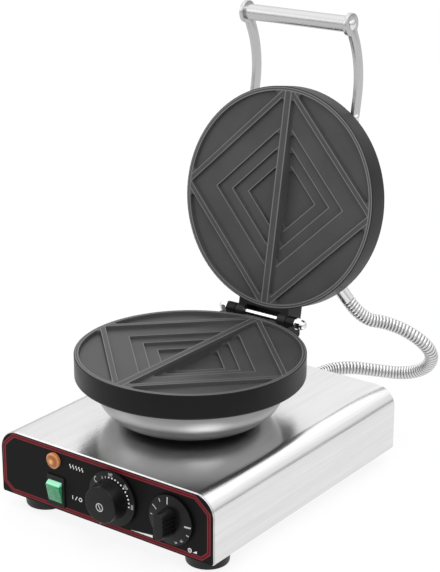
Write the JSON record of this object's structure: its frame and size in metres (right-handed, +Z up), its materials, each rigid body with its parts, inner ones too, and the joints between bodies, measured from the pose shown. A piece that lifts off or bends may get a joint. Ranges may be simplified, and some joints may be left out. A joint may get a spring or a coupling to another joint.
{
  "type": "sandwich maker",
  "caption": "Countertop sandwich maker: folded steel base with dials and a rocker switch, cast plates with triangular pockets on steel bowls, hinged lid with a bar handle and ribbed hose.",
  "frame": {"origin": "on the floor, under the middle of the folded base", "axes": "+X to the right seen from the controls, -Y to the front where the controls are, +Z up; lid open on its stop"},
  "size_m": [0.2562, 0.4161, 0.4476],
  "materials": {
    "cover_steel": "brushed",
    "bowl_steel": "satin, spun",
    "handle_steel": "satin",
    "plain_steel": "plain",
    "bright_steel": "polished",
    "hose_steel": "bright, ribbed",
    "plate_iron": "black satin coat on the casting",
    "black_film": "semi-gloss",
    "black_plastic": "satin",
    "green_plastic": "gloss",
    "amber_lens": "gloss",
    "black_rubber": "satin"
  },
  "bodies": {
    "base": {"base_cover": "cover_steel", "front_panel": "cover_steel", "panel_film": "black_film", "panel_nuts": "bright_steel", "rear_panel": "cover_steel", "panel_screws": "bright_steel", "bottom_plate": "cover_steel", "foot_front_left": "black_rubber", "foot_front_right": "black_rubber", "foot_rear_left": "black_rubber", "foot_rear_right": "black_rubber", "foot_screws": "bright_steel", "foot_nuts": "bright_steel", "lamp_lens": "amber_lens", "lamp_body": "black_plastic", "switch_housing": "black_plastic", "thermostat_body": "plain_steel", "thermostat_bulb": "plain_steel", "timer_body": "plain_steel", "terminal_block": "black_plastic", "hose_gland": "bright_steel", "hose_locknut": "bright_steel", "mains_gland": "black_plastic", "mains_locknut": "black_plastic", "lower_plate": "plate_iron", "lower_bowl": "bowl_steel", "bowl_gasket": "black_rubber", "lower_stud": "plain_steel", "lower_nut": "bright_steel", "lower_heater": "plain_steel", "lower_clamp": "plain_steel", "hinge_pin": "bright_steel", "hinge_washers": "bright_steel", "hinge_nuts": "bright_steel", "conduit_hose": "hose_steel"},
    "lid": {"upper_plate": "plate_iron", "upper_bowl": "bowl_steel", "upper_heater": "plain_steel", "upper_clamp": "plain_steel", "upper_stud": "plain_steel", "upper_nut": "bright_steel", "handle_arm_left": "handle_steel", "handle_arm_right": "handle_steel", "handle_grip": "handle_steel", "handle_screws": "bright_steel", "arm_screws": "bright_steel", "lid_ferrule": "bright_steel", "lid_locknut": "bright_steel"},
    "thermostat_dial": {"thermostat_shaft": "plain_steel", "thermostat_knob": "black_plastic"},
    "timer_dial": {"timer_shaft": "plain_steel", "timer_knob": "black_plastic"},
    "power_rocker": {"switch_rocker": "green_plastic"}
  },
  "joints": [
    {"name": "lid_hinge", "type": "hinge", "parent": "base", "child": "lid", "pos_m": [0, 0.0975, 0.1465], "axis": [1, 0, 0], "range_deg": [0, 100], "deforming": ["conduit_hose"]},
    {"name": "thermostat_turn", "type": "hinge", "parent": "base", "child": "thermostat_dial", "pos_m": [0.0135, -0.152, 0.049], "axis": [0, 1, 0], "range_deg": [0, 270]},
    {"name": "timer_turn", "type": "hinge", "parent": "base", "child": "timer_dial", "pos_m": [0.08, -0.152, 0.048], "axis": [0, 1, 0], "range_deg": [0, 300]},
    {"name": "power_rock", "type": "hinge", "parent": "base", "child": "power_rocker", "pos_m": [-0.056, -0.149, 0.035], "axis": [-1, 0, 0], "range_deg": [0, 20]}
  ]
}
